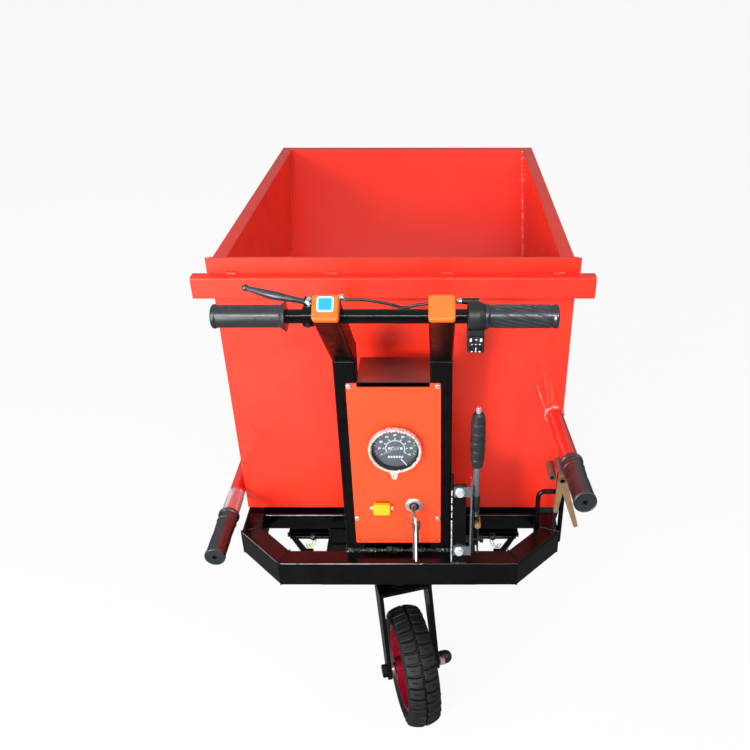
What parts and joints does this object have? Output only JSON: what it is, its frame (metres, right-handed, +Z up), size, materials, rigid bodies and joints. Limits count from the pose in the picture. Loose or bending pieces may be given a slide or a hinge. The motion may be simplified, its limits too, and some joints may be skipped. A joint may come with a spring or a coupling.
{
  "type": "electric tipping trolley",
  "caption": "Walk-behind electric trolley with a red tipping bucket, a black tube frame, a castor tail wheel and an orange control console.",
  "frame": {"origin": "on the ground under the middle of the overall box", "axes": "+Y forwards, away from the operator; +X to the operator's right; +Z up"},
  "size_m": [0.8052, 1.0623, 1.0324],
  "materials": {
    "frame_black": "gloss black paint",
    "bucket_red": "gloss red paint",
    "panel_orange": "satin orange paint",
    "plug_orange": "moulded orange",
    "rubber_black": "soft moulded rubber",
    "plastic_black": "moulded black",
    "zinc": "bright zinc plate",
    "yellow_zinc": "yellow zinc plate",
    "steel_dark": "oiled steel",
    "gunmetal": "dark grey lacquer",
    "alloy": "cast alloy",
    "tyre_grey": "grey-black tyre rubber",
    "rim_red": "gloss crimson paint",
    "socket_amber": "amber moulding",
    "clear": "clear lens",
    "needle_white": "white moulding",
    "battery_grey": "textured case"
  },
  "bodies": {
    "chassis": {"axle_housing": "steel_dark", "battery_pack": "battery_grey", "battery_tray": "frame_black", "brake_rod": "frame_black", "bucket_pads": "rubber_black", "bumper_tubes": "frame_black", "castor_beam": "frame_black", "charge_socket": "socket_amber", "console_box": "frame_black", "console_panel": "panel_orange", "control_cables": "plastic_black", "drive_motor": "alloy", "grip_left": "rubber_black", "handbrake_bolts": "zinc", "handbrake_bracket": "zinc", "handbrake_post": "frame_black", "handlebar": "frame_black", "hinge_pin": "steel_dark", "key_switch": "zinc", "ladder_tubes": "frame_black", "lever_clamp": "frame_black", "lock_loop": "frame_black", "motor_controller": "alloy", "panel_screws": "zinc", "side_plates": "frame_black", "speedometer": "plastic_black", "speedometer_glass": "clear", "throttle_housing": "plastic_black", "upright_plugs": "plug_orange", "uprights": "frame_black", "wheel_nuts": "zinc"},
    "bucket": {"bucket_floor": "bucket_red", "bucket_front_panel": "bucket_red", "bucket_grips": "rubber_black", "bucket_rear_panel": "bucket_red", "bucket_rim": "bucket_red", "bucket_sides": "bucket_red", "rear_stiffeners": "bucket_red", "hinge_lugs": "bucket_red", "bucket_handles": "bucket_red", "latch_mount": "zinc"},
    "latch": {"latch_fork": "yellow_zinc"},
    "brake_lever": {"brake_lever": "gunmetal"},
    "throttle": {"throttle_grip": "rubber_black"},
    "direction_rocker": {"direction_rocker": "plastic_black"},
    "speed_slider": {"speed_slider": "plastic_black"},
    "needle": {"speedometer_needle": "needle_white"},
    "key": {"ignition_key": "zinc"},
    "key_ring": {"key_ring": "zinc"},
    "handbrake": {"handbrake_lever": "zinc", "handbrake_grip": "rubber_black"},
    "handbrake_button": {"handbrake_button": "plastic_black"},
    "castor": {"castor_fork": "frame_black", "castor_axle": "frame_black"},
    "castor_wheel": {"castor_rim": "rim_red", "castor_tyre": "tyre_grey"},
    "wheel_left": {"drive_rim_left": "rim_red", "drive_tyre_left": "tyre_grey"},
    "wheel_right": {"drive_rim_right": "rim_red", "drive_tyre_right": "tyre_grey"}
  },
  "joints": [
    {"name": "bucket_tip", "type": "hinge", "parent": "chassis", "child": "bucket", "pos_m": [0, 0.165, 0.426], "axis": [-1, 0, 0], "range_deg": [0, 80]},
    {"name": "latch_swing", "type": "hinge", "parent": "bucket", "child": "latch", "pos_m": [0.33, -0.283, 0.536], "axis": [0, 1, 0], "range_deg": [-30, 30]},
    {"name": "brake_squeeze", "type": "hinge", "parent": "chassis", "child": "brake_lever", "pos_m": [-0.117, -0.43947, 0.9997], "axis": [0, -0.4226, 0.9063], "range_deg": [0, 15], "stiffness_Nm_per_rad": 1.2},
    {"name": "throttle_twist", "type": "hinge", "parent": "chassis", "child": "throttle", "pos_m": [0.2, -0.46213, 0.98913], "axis": [1, 0, 0], "range_deg": [0, 70], "stiffness_Nm_per_rad": 0.4},
    {"name": "direction_rock", "type": "hinge", "parent": "chassis", "child": "direction_rocker", "pos_m": [0.1375, -0.4815, 0.961], "axis": [0, 0, 1], "range_deg": [-8, 8]},
    {"name": "speed_slide", "type": "slide", "parent": "chassis", "child": "speed_slider", "axis": [1, 0, 0], "range_m": [-0.005, 0.005]},
    {"name": "needle_sweep", "type": "hinge", "parent": "chassis", "child": "needle", "pos_m": [0, -0.345, 0.655], "axis": [0, 1, 0], "range_deg": [0, 240]},
    {"name": "key_turn", "type": "hinge", "parent": "chassis", "child": "key", "pos_m": [0.033, -0.342, 0.516], "axis": [0, 1, 0], "range_deg": [0, 60]},
    {"name": "key_ring_hang", "type": "hinge", "parent": "key", "child": "key_ring", "pos_m": [0.033, -0.37, 0.51445], "axis": [1, 0, 0], "range_deg": [-60, 10]},
    {"name": "handbrake_pull", "type": "hinge", "parent": "chassis", "child": "handbrake", "pos_m": [0.153, -0.364, 0.448], "axis": [1, 0, 0], "range_deg": [0, 35]},
    {"name": "handbrake_release", "type": "slide", "parent": "handbrake", "child": "handbrake_button", "axis": [0, 0, -1], "range_m": [0, 0.006], "stiffness_N_per_m": 400},
    {"name": "castor_swivel", "type": "hinge", "parent": "chassis", "child": "castor", "pos_m": [0, -0.317, 0.31], "axis": [0, 0, 1], "continuous": true},
    {"name": "castor_roll", "type": "hinge", "parent": "castor", "child": "castor_wheel", "pos_m": [0.02481, -0.40351, 0.125], "axis": [0.9613, 0.2756, 0], "continuous": true},
    {"name": "left_wheel_roll", "type": "hinge", "parent": "chassis", "child": "wheel_left", "pos_m": [-0.357, 0.25, 0.2], "axis": [1, 0, 0], "continuous": true},
    {"name": "right_wheel_roll", "type": "hinge", "parent": "chassis", "child": "wheel_right", "pos_m": [0.357, 0.25, 0.2], "axis": [1, 0, 0], "continuous": true}
  ]
}
